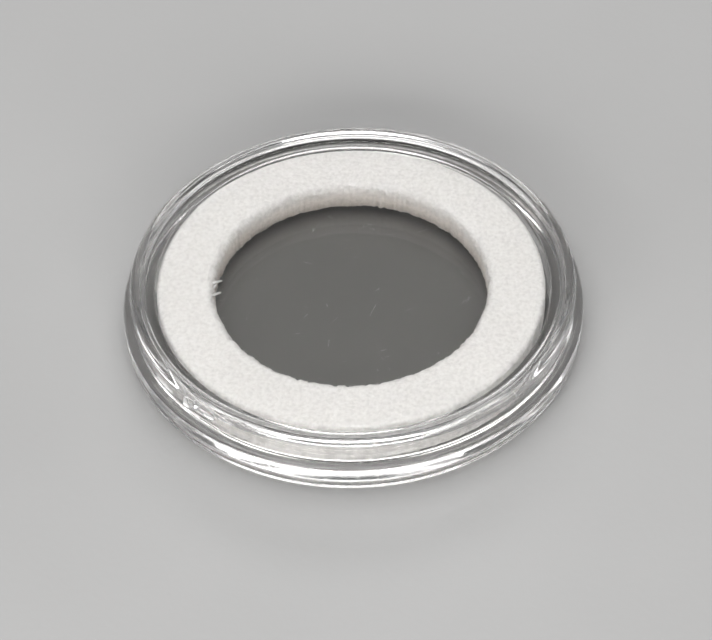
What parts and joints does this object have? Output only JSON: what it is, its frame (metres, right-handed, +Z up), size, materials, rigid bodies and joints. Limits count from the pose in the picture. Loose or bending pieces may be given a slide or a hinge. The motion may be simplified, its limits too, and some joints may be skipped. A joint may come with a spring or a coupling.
{
  "type": "coin capsule",
  "caption": "Round clear two-piece capsule with a press-on lid and a white foam ring that grips a coin by its edge.",
  "frame": {"origin": "centre of the base shell's underside, where the closed capsule stands", "axes": "+Z up through the centre of the coin, towards the lid's window; +X and +Y across the round, which has no front"},
  "size_m": [0.0494, 0.0494, 0.0062],
  "materials": {
    "clear_base": "gloss",
    "clear_lid": "gloss",
    "white_foam": "matte"
  },
  "bodies": {
    "base": {"base_shell": "clear_base"},
    "lid": {"lid_shell": "clear_lid"},
    "ring": {"foam_ring": "white_foam"}
  },
  "joints": [
    {"name": "lid_lift", "type": "slide", "parent": "base", "child": "lid", "axis": [0, 0, 1], "range_m": [0, 0.05]},
    {"name": "ring_lift", "type": "slide", "parent": "base", "child": "ring", "axis": [0, 0, 1], "range_m": [0, 0.012]}
  ],
  "couplings": [
    {"joint": "ring_lift", "follows": "lid_lift", "ratio": 0.24}
  ]
}
